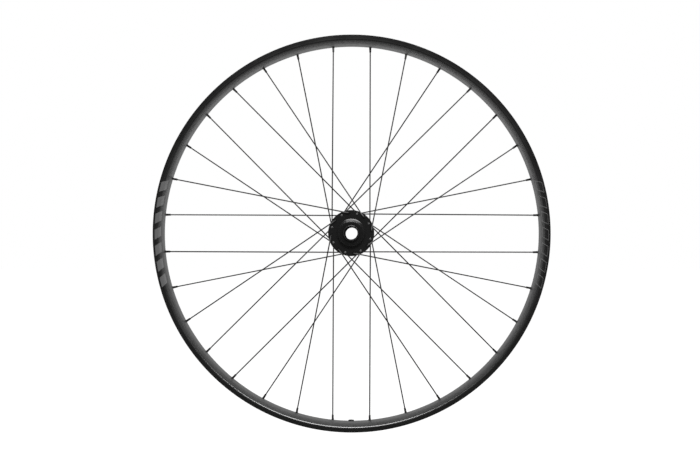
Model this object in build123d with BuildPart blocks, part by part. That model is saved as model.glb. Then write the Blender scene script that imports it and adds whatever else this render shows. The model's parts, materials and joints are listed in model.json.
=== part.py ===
from build123d import *
from math import acos, cos, degrees, radians, sin, sqrt
import os

# A 29-inch front wheel for a disc brake and a 20 mm through-axle, without its tyre.
# The wheel's centre is the origin and its axle lies along Y. The right side of the bicycle is -Y,
# the disc side is +Y, and the valve hole is at the bottom. Angles run from +X towards +Z.

# Rim section, measured from the outer edge of the sidewalls
rim_radius = 317.0
rim_height = 17.0
rim_width = 35.0
sidewall_height = 7.5
sidewall_crease = 0.8
bed_width = 11.0
belly_bulge = 1.3
bead_wall = 2.0
bead_wall_chamfer = 0.6
bead_seat_depth = 6.0
channel_width = 13.0
channel_depth = 3.4
channel_slope = 1.6
casing_wall = 1.0
spoke_bed_wall = 1.7
access_hole = 8.6
drill_overrun = 1.5

# Lacing
spoke_count = 32
crosses = 3
valve_angle = 270.0
hole_stagger = 2.0

# Spokes
spoke_diameter = 2.0
wire_sides = 8
spoke_head_diameter = 3.6
spoke_head_height = 1.1
spoke_end_past_seat = 1.0
elbow_radius = 2.4
elbow_standoff = 3.2
interlace_gap = 0.2
interlace_radius = 120.0

# Nipples
nipple_flats = 3.2
nipple_corner = 0.4
nipple_proud = 8.2
nipple_head_diameter = 5.6
nipple_head_height = 2.4
nipple_seat_lift = 0.5
nipple_hole_clearance = 0.2
nipple_head_sides = 8
thread_clearance = 0.05

# Valve hole and its rubber bush
valve_hole = 8.4
valve_stem_hole = 6.3
bush_collar_diameter = 9.2
bush_collar_height = 1.8
bush_collar_edge = 0.8
bush_seat_gap = 0.1
bush_neck_clearance = 0.05
bush_neck_past_wall = 0.6

# Hub shell
right_flange_inset = 8.5
left_flange_inset = 17.5
right_hole_circle = 63.4
left_hole_circle = 61.4
flange_thickness = 3.2
flange_margin = 4.8
flange_edge = 0.5
flange_hole_clearance = 0.3
head_seat_gap = 0.05
boss_diameter = 41.0
boss_edge_fillet = 1.3
boss_base_fillet = 1.6
neck_wall = 4.6
waist_wall = 2.2
sleeve_clearance = 1.0

# Disc mount
disc_bolt_count = 6
disc_bolt_circle = 44.0
disc_bolt_hole = 4.2
disc_lobe_diameter = 10.6
disc_mount_thickness = 8.0

# Cartridge bearings
bearing_bore = 25.0
bearing_outside = 37.0
bearing_width = 7.0
bearing_ring = 1.8
seal_thickness = 0.8
seal_recess = 0.3
seal_lip_gap = 0.08
fit_clearance = 0.02

# Axle sleeve and end caps
axle_length = 110.0
axle_bore = 20.1
disc_face_inset = 10.5
sleeve_shoulder = 1.0
cap_nose_length = 5.5
cap_nose_diameter = 24.4
cap_nose_chamfer = 0.6
cap_shield_thickness = 0.8
cap_shield_gap = 0.4
cap_shield_clearance = 0.3

# Worked out from the sizes above
RIGHT = -1
LEFT = 1
spoke_pitch = 360.0 / spoke_count
flange_pitch = 2 * spoke_pitch
lace_angle = crosses * flange_pitch
bed_radius = rim_radius - rim_height
seat_radius = bed_radius + spoke_bed_wall
nipple_reach = sqrt((nipple_flats / 2) ** 2 + (nipple_flats / 2 - nipple_corner) ** 2)
crease_radius = rim_radius - sidewall_height
bead_seat_radius = rim_radius - bead_seat_depth
channel_radius = bead_seat_radius - channel_depth
right_shell_end = axle_length / 2 - cap_nose_length
disc_face = axle_length / 2 - disc_face_inset
right_flange_offset = right_shell_end - right_flange_inset
left_flange_offset = disc_face - left_flange_inset
flange_offset = {RIGHT: right_flange_offset, LEFT: left_flange_offset}
hole_radius = {RIGHT: right_hole_circle / 2, LEFT: left_hole_circle / 2}
shell_end = {RIGHT: right_shell_end, LEFT: disc_face}
flange_hole = spoke_diameter + 2 * flange_hole_clearance
pocket_depth = cap_shield_thickness + cap_shield_gap + bearing_width
bearing_inner_face = {side: shell_end[side] - pocket_depth for side in (RIGHT, LEFT)}
sleeve_radius = bearing_bore / 2 + sleeve_shoulder
shell_bore = sleeve_radius + sleeve_clearance
inner_ring_outside = bearing_bore + 2 * bearing_ring
outer_ring_inside = bearing_outside - 2 * bearing_ring
side_name = {RIGHT: "right", LEFT: "left"}


def polar(radius, angle, y):
    """Point at a radius and an angle about the axle, y along it."""
    return Vector(radius * cos(radians(angle)), y, radius * sin(radians(angle)))


def spoke_side(index):
    """Spokes alternate between the right and the left flange."""
    return RIGHT if index % 2 == 0 else LEFT


def spoke_turn(index):
    """Every other spoke of a flange leads its rim hole, and the next one trails it."""
    return 1 if index % 4 < 2 else -1


def rim_angle(index):
    """The valve hole sits midway between two spoke holes."""
    return valve_angle + (index + 0.5) * spoke_pitch


def hub_angle(index):
    return rim_angle(index) + spoke_turn(index) * lace_angle


def flange_hole_point(index):
    side = spoke_side(index)
    return polar(hole_radius[side], hub_angle(index), side * flange_offset[side])


def nipple_seat(index):
    return polar(seat_radius, rim_angle(index), spoke_side(index) * hole_stagger)


def crossing_point(index):
    """Where a spoke passes its partner at the outermost crossing.

    The spoke that leaves from the outer face of the flange passes inside the other one there.
    """
    side = spoke_side(index)
    reach = hole_radius[side]
    span = sqrt(reach**2 + seat_radius**2 - 2 * reach * seat_radius * cos(radians(lace_angle)))
    line_offset = reach * seat_radius * sin(radians(lace_angle)) / span
    hole_swing = degrees(acos(line_offset / reach))
    cross_swing = (crosses - 0.5) * flange_pitch
    cross_radius = line_offset / cos(radians(hole_swing + cross_swing))
    along_hub = sqrt(reach**2 - line_offset**2)
    share = (sqrt(cross_radius**2 - line_offset**2) - along_hub) / span
    middle = flange_offset[side] * (1 - share) + hole_stagger * share
    apart = (spoke_diameter + interlace_gap) / 2
    depth = middle + spoke_turn(index) * apart
    return polar(cross_radius, hub_angle(index) - spoke_turn(index) * cross_swing, side * depth)


def nipple_plane(index):
    """Plane on the nipple's seat, with its normal along the spoke's outer run."""
    seat = nipple_seat(index)
    return Plane(origin=seat, x_dir=(0, 1, 0), z_dir=seat - crossing_point(index))


def radial_plane(radius, angle, y):
    """Plane at a point of the rim, with its normal away from the axle."""
    return Plane(origin=polar(radius, angle, y), x_dir=(0, 1, 0), z_dir=polar(1, angle, 0))


def access_plane(index):
    """Plane in the tyre channel's wall, over one nipple."""
    y = spoke_side(index) * hole_stagger
    return radial_plane(channel_radius - casing_wall / 2, rim_angle(index), y)


spoke_indices = range(spoke_count)
nipple_planes = [nipple_plane(index) for index in spoke_indices]
os.makedirs("parts", exist_ok=True)

# Rim: one hollow section turned about the axle, drilled for nipples, tools and valve
half_width = rim_width / 2
bead_inside = half_width - bead_wall
channel_half = channel_width / 2
shelf_edge = channel_half + channel_slope
bed_half = bed_width / 2
shelf_under = bead_seat_radius - casing_wall
channel_under = channel_radius - casing_wall
casing_half = half_width - casing_wall
with BuildPart() as rim:
    with BuildSketch(Plane.XY) as rim_section:
        with BuildLine():
            bed = Line((bed_radius, 0), (bed_radius, bed_half))
            belly = SagittaArc(bed @ 1, (crease_radius, half_width), belly_bulge)
            Polyline(
                belly @ 1,
                (rim_radius, half_width),
                (rim_radius, bead_inside),
                (bead_seat_radius, bead_inside),
                (bead_seat_radius, shelf_edge),
                (channel_radius, channel_half),
                (channel_radius, 0),
                (bed_radius, 0),
            )
        make_face()
        with BuildLine():
            roof = Polyline(
                (shelf_under, casing_half),
                (shelf_under, shelf_edge),
                (channel_under, channel_half),
                (channel_under, 0),
                (seat_radius, 0),
                (seat_radius, bed_half - casing_wall / 2),
            )
            SagittaArc(roof @ 1, roof @ 0, belly_bulge)
        make_face(mode=Mode.SUBTRACT)
        corners = rim_section.vertices()
        tips = corners.filter_by(lambda v: abs(v.X - rim_radius) < 0.01)
        creases = corners.filter_by(lambda v: abs(v.X - crease_radius) < 0.01)
        chamfer(tips, length=bead_wall_chamfer)
        chamfer(creases, length=sidewall_crease)
        mirror(about=Plane.XZ)
    revolve(axis=Axis.Y)
    with Locations(*[plane.offset(-spoke_bed_wall / 2) for plane in nipple_planes]):
        nipple_hole = nipple_reach + nipple_hole_clearance
        Cylinder(nipple_hole, spoke_bed_wall + 2 * drill_overrun, mode=Mode.SUBTRACT)
    with Locations(*[access_plane(index) for index in spoke_indices]):
        Cylinder(access_hole / 2, casing_wall + 2 * drill_overrun, mode=Mode.SUBTRACT)
    with Locations(radial_plane(bed_radius, valve_angle, 0)):
        valve_drill = 2 * (channel_radius - bed_radius + drill_overrun)
        Cylinder(valve_hole / 2, valve_drill, mode=Mode.SUBTRACT)
rim.part.label = "rim"
export_step(rim.part, "parts/rim.step")

# Valve bush: a rubber collar on the spoke bed with a neck through the drilled hole
collar_seat = bed_radius - bush_seat_gap
valve_plane = radial_plane(collar_seat, valve_angle, 0)
with BuildPart() as valve_bush:
    with BuildSketch(valve_plane):
        Circle(bush_collar_diameter / 2)
    extrude(amount=-bush_collar_height)
    collar_edge = valve_bush.edges().filter_by(GeomType.CIRCLE).sort_by(Axis.Z)[-1]
    fillet(collar_edge, radius=bush_collar_edge)
    with BuildSketch(valve_plane):
        Circle(valve_hole / 2 - bush_neck_clearance)
    extrude(amount=bush_seat_gap + spoke_bed_wall + bush_neck_past_wall)
    with Locations(valve_plane):
        Hole(valve_stem_hole / 2)
valve_bush.part.label = "valve_bush"
export_step(valve_bush.part, "parts/valve_bush.step")

# Spokes: a wire with a flat head, bent at the flange and bowed where two spokes interlace.
# The wire is eight-sided, so that many spokes stay light.
for index in spoke_indices:
    side = spoke_side(index)
    pin_way = Vector(0, -side * spoke_turn(index), 0)
    hole = flange_hole_point(index)
    head = hole - pin_way * (flange_thickness / 2 + head_seat_gap)
    elbow = hole + pin_way * (flange_thickness / 2 + elbow_standoff)
    seat_plane = nipple_planes[index]
    wire_end = seat_plane.origin + seat_plane.z_dir * spoke_end_past_seat
    with BuildPart() as spoke:
        with BuildLine() as route:
            bends = [elbow_radius, interlace_radius]
            FilletPolyline(head, elbow, crossing_point(index), wire_end, radius=bends)
        with BuildSketch(Plane(origin=head, z_dir=pin_way)):
            RegularPolygon(spoke_diameter / 2, wire_sides)
        sweep()
        with BuildSketch(Plane(origin=head, z_dir=pin_way)):
            RegularPolygon(spoke_head_diameter / 2, wire_sides)
        extrude(amount=-spoke_head_height)
    node = f"{side_name[side]}_spoke_{index // 2 + 1:02d}"
    spoke.part.label = node
    export_step(spoke.part, f"parts/{node}.step")

# Nipples: a square body with blunted corners through the spoke bed, and its head inside the rim
with BuildPart() as nipple:
    with BuildSketch(Plane.XY.offset(-spoke_bed_wall - nipple_proud)) as body_section:
        Rectangle(nipple_flats, nipple_flats)
        chamfer(body_section.vertices(), length=nipple_corner)
    extrude(amount=spoke_bed_wall + nipple_proud + nipple_seat_lift)
    with BuildSketch(Plane.XY.offset(nipple_seat_lift)):
        RegularPolygon(nipple_head_diameter / 2, nipple_head_sides)
    extrude(amount=nipple_head_height)
    with BuildSketch(Plane.XY.offset(-spoke_bed_wall - nipple_proud)):
        RegularPolygon(spoke_diameter / 2 + thread_clearance, wire_sides, major_radius=False)
    bore_depth = spoke_bed_wall + nipple_proud + spoke_end_past_seat + thread_clearance
    extrude(amount=bore_depth, mode=Mode.SUBTRACT)

for side in (RIGHT, LEFT):
    with BuildPart() as nipples:
        with Locations(*[plane for plane in nipple_planes if plane.origin.Y * side > 0]):
            add(nipple.part)
    node = f"{side_name[side]}_nipples"
    nipples.part.label = node
    export_step(nipples.part, f"parts/{node}.step")

# Hub shell: one turned piece with both flanges, the bearing pockets and the disc mount
boss = boss_diameter / 2
neck = bearing_outside / 2 + neck_wall
waist = shell_bore + waist_wall
right_outer_face = -right_flange_offset - flange_thickness / 2
right_inner_face = -right_flange_offset + flange_thickness / 2
left_inner_face = left_flange_offset - flange_thickness / 2
left_outer_face = left_flange_offset + flange_thickness / 2
right_flange = hole_radius[RIGHT] + flange_margin
left_flange = hole_radius[LEFT] + flange_margin
pocket = bearing_outside / 2 + fit_clearance
with BuildPart() as hub_shell:
    with BuildSketch(Plane.XY) as shell_section:
        with BuildLine():
            right_end = Polyline(
                (shell_bore, -right_shell_end),
                (boss, -right_shell_end),
                (boss, right_outer_face),
                (right_flange, right_outer_face),
                (right_flange, right_inner_face),
                (neck, right_inner_face),
            )
            middle_y = (right_inner_face + left_inner_face) / 2
            barrel = ThreePointArc(right_end @ 1, (waist, middle_y), (neck, left_inner_face))
            Polyline(
                barrel @ 1,
                (left_flange, left_inner_face),
                (left_flange, left_outer_face),
                (boss, left_outer_face),
                (boss, disc_face),
                (shell_bore, disc_face),
                (shell_bore, -right_shell_end),
            )
        make_face()
        corners = shell_section.vertices()
        boss_corners = corners.filter_by(lambda v: abs(v.X - boss) < 0.01)
        flange_corners = corners.filter_by(lambda v: v.X > left_flange - 0.01)
        fillet(boss_corners.sort_by(Axis.Y)[0], radius=boss_edge_fillet)
        fillet(boss_corners.sort_by(Axis.Y)[1:3], radius=boss_base_fillet)
        chamfer(flange_corners, length=flange_edge)
    revolve(axis=Axis.Y)
    with BuildSketch(Plane.XZ.offset(-disc_face)):
        Circle(boss)
        with PolarLocations(disc_bolt_circle / 2, disc_bolt_count):
            Circle(disc_lobe_diameter / 2)
    extrude(amount=disc_mount_thickness)
    with BuildSketch(Plane.XZ.offset(-disc_face)):
        with PolarLocations(disc_bolt_circle / 2, disc_bolt_count):
            Circle(disc_bolt_hole / 2)
    extrude(amount=disc_mount_thickness, mode=Mode.SUBTRACT)
    for side in (RIGHT, LEFT):
        with BuildSketch(Plane.XZ.offset(-side * shell_end[side])):
            Circle(pocket)
        extrude(amount=side * pocket_depth, mode=Mode.SUBTRACT)
    with BuildSketch(Plane.XZ.offset(-disc_face)):
        Circle(shell_bore)
    extrude(amount=disc_face + right_shell_end, mode=Mode.SUBTRACT)
    with Locations(*[Plane(origin=flange_hole_point(index), z_dir=(0, 1, 0)) for index in spoke_indices]):
        Cylinder(flange_hole / 2, 2 * flange_thickness, mode=Mode.SUBTRACT)
hub_shell.part.label = "hub_shell"
export_step(hub_shell.part, "parts/hub_shell.step")


def ring_section(inside, outside, start, end):
    """Rectangle for a turned ring, with radii across and the axle's direction up."""
    with BuildSketch(Plane.XY) as section:
        with Locations(((inside + outside) / 2, (start + end) / 2)):
            Rectangle(outside - inside, end - start)
    return section.sketch


# Cartridge bearings: an outer ring in the shell, an inner ring on the end cap, and two seals
for side in (RIGHT, LEFT):
    inner_face = side * bearing_inner_face[side]
    outer_face = inner_face + side * bearing_width
    low, high = sorted((inner_face, outer_face))
    with BuildPart() as outer_ring:
        add(ring_section(outer_ring_inside / 2, bearing_outside / 2, low, high))
        revolve(axis=Axis.Y)
    with BuildPart() as inner_ring:
        add(ring_section(bearing_bore / 2, inner_ring_outside / 2, low, high))
        revolve(axis=Axis.Y)
    with BuildPart() as seals:
        for start in (low + seal_recess, high - seal_recess - seal_thickness):
            lip = inner_ring_outside / 2 + seal_lip_gap
            add(ring_section(lip, outer_ring_inside / 2, start, start + seal_thickness))
        revolve(axis=Axis.Y)
    for piece, name in ((outer_ring, "outer_ring"), (inner_ring, "inner_ring"), (seals, "seals")):
        node = f"{side_name[side]}_bearing_{name}"
        piece.part.label = node
        export_step(piece.part, f"parts/{node}.step")

# Axle sleeve: the tube that keeps the two inner rings apart
with BuildPart() as axle_sleeve:
    sleeve_start = -bearing_inner_face[RIGHT]
    add(ring_section(axle_bore / 2, sleeve_radius, sleeve_start, bearing_inner_face[LEFT]))
    revolve(axis=Axis.Y)
axle_sleeve.part.label = "axle_sleeve"
export_step(axle_sleeve.part, "parts/axle_sleeve.step")

# End caps: a spigot inside the bearing, a shield over its face and a nose for the fork end
bore = axle_bore / 2
spigot = bearing_bore / 2 - fit_clearance
nose = cap_nose_diameter / 2
shield = bearing_outside / 2 - cap_shield_clearance
for side in (RIGHT, LEFT):
    bearing_face = shell_end[side] - cap_shield_thickness - cap_shield_gap
    shield_face = bearing_face + cap_shield_gap
    with BuildPart() as end_cap:
        with BuildSketch(Plane.XY) as cap_section:
            with BuildLine():
                Polyline(
                    (bore, side * bearing_inner_face[side]),
                    (spigot, side * bearing_inner_face[side]),
                    (spigot, side * bearing_face),
                    (inner_ring_outside / 2, side * bearing_face),
                    (inner_ring_outside / 2, side * shield_face),
                    (shield, side * shield_face),
                    (shield, side * shell_end[side]),
                    (nose, side * shell_end[side]),
                    (nose, side * axle_length / 2),
                    (bore, side * axle_length / 2),
                    close=True,
                )
            make_face()
            end_corners = cap_section.vertices().filter_by(lambda v: abs(abs(v.Y) - axle_length / 2) < 0.01)
            chamfer(end_corners.sort_by(Axis.X)[-1], length=cap_nose_chamfer)
        revolve(axis=Axis.Y)
    node = f"{side_name[side]}_end_cap"
    end_cap.part.label = node
    export_step(end_cap.part, f"parts/{node}.step")
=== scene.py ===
"""A spoked front bicycle wheel: its modelled pieces, their finishes and a white studio around it."""
import json
import math

import bmesh
import bpy
from bpy.props import FloatProperty, FloatVectorProperty, IntProperty, PointerProperty
from bpy.types import NodeSocket, Operator, Panel, PropertyGroup
from mathutils import Matrix, Vector


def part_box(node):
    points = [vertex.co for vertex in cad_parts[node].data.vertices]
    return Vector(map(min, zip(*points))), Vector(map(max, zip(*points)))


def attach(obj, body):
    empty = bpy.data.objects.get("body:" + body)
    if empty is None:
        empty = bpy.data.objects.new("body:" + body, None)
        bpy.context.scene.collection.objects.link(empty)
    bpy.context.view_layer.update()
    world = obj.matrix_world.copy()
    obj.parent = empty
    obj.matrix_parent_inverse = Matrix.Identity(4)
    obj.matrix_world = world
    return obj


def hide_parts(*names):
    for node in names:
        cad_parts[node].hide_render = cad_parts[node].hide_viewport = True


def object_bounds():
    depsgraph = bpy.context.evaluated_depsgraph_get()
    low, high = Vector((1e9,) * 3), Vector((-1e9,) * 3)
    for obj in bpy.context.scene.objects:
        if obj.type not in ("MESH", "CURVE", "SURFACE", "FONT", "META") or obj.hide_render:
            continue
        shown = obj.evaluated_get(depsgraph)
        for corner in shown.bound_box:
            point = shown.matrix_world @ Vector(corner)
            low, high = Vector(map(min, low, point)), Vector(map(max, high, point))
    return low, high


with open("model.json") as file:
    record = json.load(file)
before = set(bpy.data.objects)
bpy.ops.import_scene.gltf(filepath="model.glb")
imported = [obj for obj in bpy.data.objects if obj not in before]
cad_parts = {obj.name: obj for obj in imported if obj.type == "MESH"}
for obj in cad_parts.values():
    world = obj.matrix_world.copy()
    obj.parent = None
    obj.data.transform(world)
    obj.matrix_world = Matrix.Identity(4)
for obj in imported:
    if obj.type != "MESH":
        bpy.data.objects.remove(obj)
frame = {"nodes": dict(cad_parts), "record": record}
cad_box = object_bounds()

bl_info = {
    "name": "Spoked Front Wheel",
    "version": (1, 0, 0),
    "blender": (4, 5, 0),
    "location": "View3D > Sidebar > Wheel",
    "description": "Models the hoop, spokes and hub of a front bicycle wheel around its frame",
    "category": "Object",
}

# Ways and units: the axle lies along Y, the right side of the bicycle is -Y, and angles run from +X to +Z
MM = 0.001
RIGHT, LEFT = -1, 1
SIDES = {RIGHT: "right", LEFT: "left"}
AXLE = Vector((0, 1, 0))
VALVE_ANGLE = 270.0
# What of a vector lies across the axle, and the cosine from which a way counts as lying along it
ACROSS = (1, 0, 1)
NEARLY_ALONG = 0.9
# A spoke with its head outside its flange leads one way round the hub, and one with its head inside the other
HEAD_OUT, HEAD_IN = 1, -1

# Fineness of the meshes
RIM_STEPS = 384
CHAMBER_STEPS = 192
HUB_STEPS = 160
SMALL_STEPS = 24
BUSH_STEPS = 48
ARC_STEPS = 12
SIDEWALL_STEPS = 4
ROUND_STEPS = 4
WIRE_SIDES = 16
ELBOW_STEPS = 8
BOW_STEPS = 4
DRILL_SIDES = 24
MERGE = 1e-7
MIRROR_MERGE = 10 * MERGE
SMOOTH_ANGLE = math.radians(32)
SPOKE_KINDS = 4
BORE_SKIN = 0.03 * MM

# Depths of the drills, and how far a cutter reaches past what it cuts
NIPPLE_DRILL, ACCESS_DRILL, VALVE_DRILL = 6 * MM, 5 * MM, 16 * MM
SPARE = MM
# The second pair of flat mills has this share of the flats' width, so that no two faces coincide
MILL_SHARE = 0.99

# A spoke's head in shares of its radius and height: its flat tip, then each rise and the radius there
HEAD_TIP = 0.35
HEAD_DOME = ((0.08, 0.7), (0.22, 0.92), (0.3, 1.0), (0.4, 0.97))

# Most of a noise's values lie between these
NOISE_LOW, NOISE_HIGH = 0.3, 0.7
# Roughness that is added to the rim before and after a stretch, and where the stretch starts and ends,
# counted outwards from the crease
SOFT_CREASE = (0.0, 0.05, -3.5 * MM, -1.5 * MM)
SOFT_BELLY = (0.16, 0.0, -4.5 * MM, -2.5 * MM)
POLISHED_WALL = (0.0, -0.095, 1.0 * MM, 2.5 * MM)
# Least roughness of the spoke bed, which fades off over a stretch, and of the tyre channel, which grows
# with how far a face looks outwards
BED_ROUGHNESS, BED_FADE = (0.6, 0.1), 2 * MM
CHANNEL_ROUGHNESS, CHANNEL_FACING = (0.1, 0.45), (0.3, 0.6)
# How squarely a face has to look sideways to carry a bar
WALL_FACING = 0.45
# Where the spokes carry a painted highlight, a paler base colour that stands in for the glint on heads and
# elbows, as distances from the axle, and how softly that starts and ends
GLINT_ON_HEADS, GLINT_ON_ELBOWS = (0.0, 36 * MM), (33 * MM, 36 * MM)
GLINT_START, GLINT_END = 0.7 * MM, 4 * MM
WIRE_ROUGHNESS, NIPPLE_ROUGHNESS = 0.3, 0.2

# The studio: where the room turns from dark to white along Y, and the camera's sensor in millimetres
ROOM_FADE = (-0.5, 0.08)
SENSOR_WIDTH = 36.0
WHITE = (1, 1, 1, 1)

# What the frame says about the wheel
_, rim_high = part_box("rim")
hub_low, hub_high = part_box("hub_shell")
sleeve_low, sleeve_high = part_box("axle_sleeve")
mounts = {mount["name"]: mount for mount in frame["record"]["mounts"]}
fork_face = {RIGHT: -mounts["right_fork_face"]["pos_m"][1], LEFT: mounts["left_fork_face"]["pos_m"][1]}
shell_end = {RIGHT: -hub_low.y, LEFT: hub_high.y}
sleeve_end = {RIGHT: -sleeve_low.y, LEFT: sleeve_high.y}


def length(name, millimetres, description):
    """A size that the user can change."""
    return FloatProperty(
        name=name, description=description, default=millimetres * MM, unit="LENGTH", precision=5
    )


def share(name, default, description):
    """A value between nothing and all."""
    return FloatProperty(name=name, description=description, default=default, min=0, max=1, subtype="FACTOR")


def colour(name, grey, description):
    """A finish's base colour, neutral to start with."""
    return FloatVectorProperty(
        name=name, description=description, default=(grey, grey, grey), min=0, max=1, subtype="COLOR"
    )


class RimSettings(PropertyGroup):
    """Section of the hollow hoop, measured inwards from its edge."""

    radius: length("Edge radius", rim_high.x / MM, "From the axle to the edge of the bead walls")
    half_width: length("Half width", rim_high.y / MM, "From the middle of the hoop to a sidewall")
    depth: length("Depth", 17.0, "From the edge to the spoke bed")
    sidewall: length("Sidewall", 7.5, "Height of the sidewall")
    sidewall_lean: length("Lean", 0.1, "How far the sidewall leans inwards at the edge")
    sidewall_bulge: length("Sidewall bulge", 0.03, "How far the sidewall bulges")
    bed_width: length("Spoke bed", 11.0, "Width of the drilled strip")
    belly_bulge: length("Belly", 1.3, "How far the flank between bed and sidewall bulges")
    bead_wall: length("Bead wall", 2.0, "Thickness of the wall that holds the tyre")
    bead_seat: length("Bead seat", 6.0, "From the edge to the seat of the tyre's bead")
    channel_width: length("Channel width", 13.0, "Width of the floor of the middle channel")
    channel_depth: length("Channel depth", 3.4, "From the bead seat to the channel's floor")
    channel_slope: length("Channel slope", 1.6, "Width of the channel's sloping side")
    wall: length("Wall", 1.0, "Thickness of the hollow section's walls")
    bed_wall: length("Bed wall", 1.7, "Thickness of the spoke bed")
    access_hole: length("Access hole", 8.6, "Diameter of the holes that let the nipples in")
    valve_hole: length("Valve hole", 8.4, "Diameter of the drilled valve hole")
    nipple_hole: length("Nipple hole", 4.4, "Diameter of the drilled nipple holes")
    crease_round: length("Crease", 4.0, "Rounding between flank and sidewall")
    edge_round: length("Edge", 0.2, "Rounding of the bead walls' edges")
    channel_round: length("Channel corners", 1.0, "Rounding inside the tyre channel")


class SpokeSettings(PropertyGroup):
    """The wires and how they are laced."""

    count: IntProperty(name="Count", description="Spokes in the wheel", default=32, min=16, max=40)
    crosses: IntProperty(name="Crosses", description="Spokes that each one crosses", default=3, min=1, max=4)
    stagger: length("Stagger", 2.0, "How far the rim holes lie off the middle")
    wire: length("Wire", 2.0, "Diameter of the wire")
    head: length("Head", 3.6, "Diameter of the head")
    head_height: length("Head height", 1.1, "Height of the head")
    head_gap: length("Head gap", 0.05, "Room between head and flange")
    end_past_seat: length("End", 1.0, "How far the wire runs past the nipple's seat")
    elbow: length("Elbow", 2.4, "Radius of the bend at the flange")
    standoff: length("Standoff", 3.2, "From the flange's face to the elbow's corner")
    bow: length("Bow", 120.0, "Radius of the bend where two spokes interlace")
    interlace_gap: length("Interlace gap", 0.2, "Room between two interlaced spokes")


class NippleSettings(PropertyGroup):
    """The nuts that hold the spokes."""

    flats: length("Flats", 3.2, "Width across the square part")
    barrel: length("Barrel", 4.0, "Diameter of the turned body")
    bore: length("Bore", 2.1, "Diameter of the threaded hole")
    proud: length("Length", 8.2, "How far the body stands out of the spoke bed")
    collar: length("Collar", 1.0, "Length of the round part outside the bed")
    tip_chamfer: length("Tip", 0.8, "Chamfer at the spoke's entry")
    head: length("Head", 5.6, "Diameter of the head")
    head_top: length("Head top", 2.9, "From the seat to the top of the head")
    head_chamfer: length("Head chamfer", 0.6, "Chamfer at the top of the head")
    cone_below: length("Cone below", 0.3, "How far the head's cone starts below the seat")
    cone_above: length("Cone above", 0.9, "How far the head's cone ends above the seat")
    slot_width: length("Slot width", 1.0, "Width of the driver slot")
    slot_depth: length("Slot depth", 0.9, "Depth of the driver slot")


class HubSettings(PropertyGroup):
    """The turned shell with its flanges, pockets and disc mount."""

    right_flange_inset: length("Right flange", 8.5, "From the shell's right end to the flange")
    left_flange_inset: length("Left flange", 17.5, "From the disc face to the flange")
    right_circle: length("Right holes", 63.4, "Diameter of the right circle of spoke holes")
    left_circle: length("Left holes", 61.4, "Diameter of the left circle of spoke holes")
    flange: length("Flange", 3.2, "Thickness of the flanges")
    flange_margin: length("Flange margin", 4.8, "From the spoke holes to the flange's edge")
    flange_round: length("Flange edge", 0.5, "Rounding of the flanges' edges")
    spoke_hole: length("Spoke hole", 2.6, "Diameter of the spoke holes")
    hole_chamfer: length("Hole chamfer", 0.35, "Countersink of the spoke holes")
    boss: length("Boss", 41.0, "Diameter of the bearing housings")
    edge_width: length("Edge width", 1.9, "Width of the bevel at the right housing's edge")
    edge_drop: length("Edge drop", 0.52, "Depth of the bevel at the right housing's edge")
    foot_ledge: length("Foot ledge", 0.7, "Width of the ledge at the right housing's foot")
    foot_width: length("Foot width", 1.3, "Width of the bevel at the right housing's foot")
    foot_rise: length("Foot rise", 0.5, "Height of the bevel at the right housing's foot")
    bevel_round: length("Bevel corners", 0.25, "Rounding of the corners of the right housing's bevels")
    boss_root: length("Boss root", 1.6, "Rounding where the left housing meets its flange")
    neck: length("Neck", 46.2, "Diameter of the shell beside the flanges")
    neck_root: length("Neck root", 1.5, "Rounding between the shell and a flange")
    waist: length("Waist", 33.4, "Diameter of the shell's waist")
    bore: length("Bore", 29.0, "Diameter of the hole through the shell")
    pocket: length("Pocket", 37.04, "Diameter of the bearing pockets")
    pocket_depth: length("Pocket depth", 8.2, "Depth of the bearing pockets")
    lobe: length("Lobe", 10.6, "Diameter of the disc mount's lobes")
    mount_depth: length("Mount depth", 8.0, "Thickness of the disc mount")
    lobe_round: length("Lobe edge", 0.5, "Rounding of the lobes' edges")


class AxleSettings(PropertyGroup):
    """The pieces that stand still: the sleeve and the two end caps."""

    cap_spigot: length("Cap spigot", 24.96, "Diameter of the cap inside the bearing")
    cap_land: length("Cap land", 28.6, "Diameter of the cap where it bears on the inner ring")
    cap_shield: length("Cap shield", 36.4, "Diameter of the dust shield")
    shield_depth: length("Shield depth", 0.8, "Thickness of the dust shield")
    shield_gap: length("Shield gap", 0.4, "Room between shield and bearing")
    shield_bevel: length("Shield bevel", 0.4, "Width of the bevel at the shield's edge")
    shield_drop: length("Shield drop", 0.1, "Depth of the bevel at the shield's edge")
    cap_nose: length("Cap nose", 24.4, "Diameter of the nose that meets the fork")
    nose_round: length("Nose edge", 1.2, "Rounding of the nose's edge")
    bore_round: length("Bore edge", 0.25, "Rounding of the axle hole's edge and of the nose's root")
    sleeve_round: length("Sleeve ends", 0.4, "Rounding of the sleeve's ends")


class BushSettings(PropertyGroup):
    """The rubber bush in the valve hole."""

    collar: length("Collar", 9.2, "Diameter of the collar on the spoke bed")
    collar_height: length("Collar height", 1.8, "Height of the collar")
    collar_round: length("Collar edge", 0.8, "Rounding of the collar's edge")
    neck: length("Neck", 8.3, "Diameter of the neck in the drilled hole")
    neck_length: length("Neck length", 2.4, "Length of the neck")
    seat_gap: length("Seat gap", 0.1, "Room between collar and bed")


class BarSettings(PropertyGroup):
    """The plain bars on the sidewalls, filled on one half of the wheel and in outline on the other."""

    near: length("Near end", 3.2, "From the rim's edge to the near end of the bars")
    far: length("Far end", 13.0, "From the rim's edge to the far end of the bars")
    pitch: length("Pitch", 26.0, "From one bar to the next")
    half_bar: share("Half bar", 0.31, "Half the width of a bar, as a share of the pitch")
    reach: length("Reach", 91.0, "How far the row runs up and down from the axle's height")
    line: length("Line", 0.5, "Half the width of the outlines")
    slant: share("Slant", 0.6, "How far a bar leans along the rim, as a share of its length")


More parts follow.
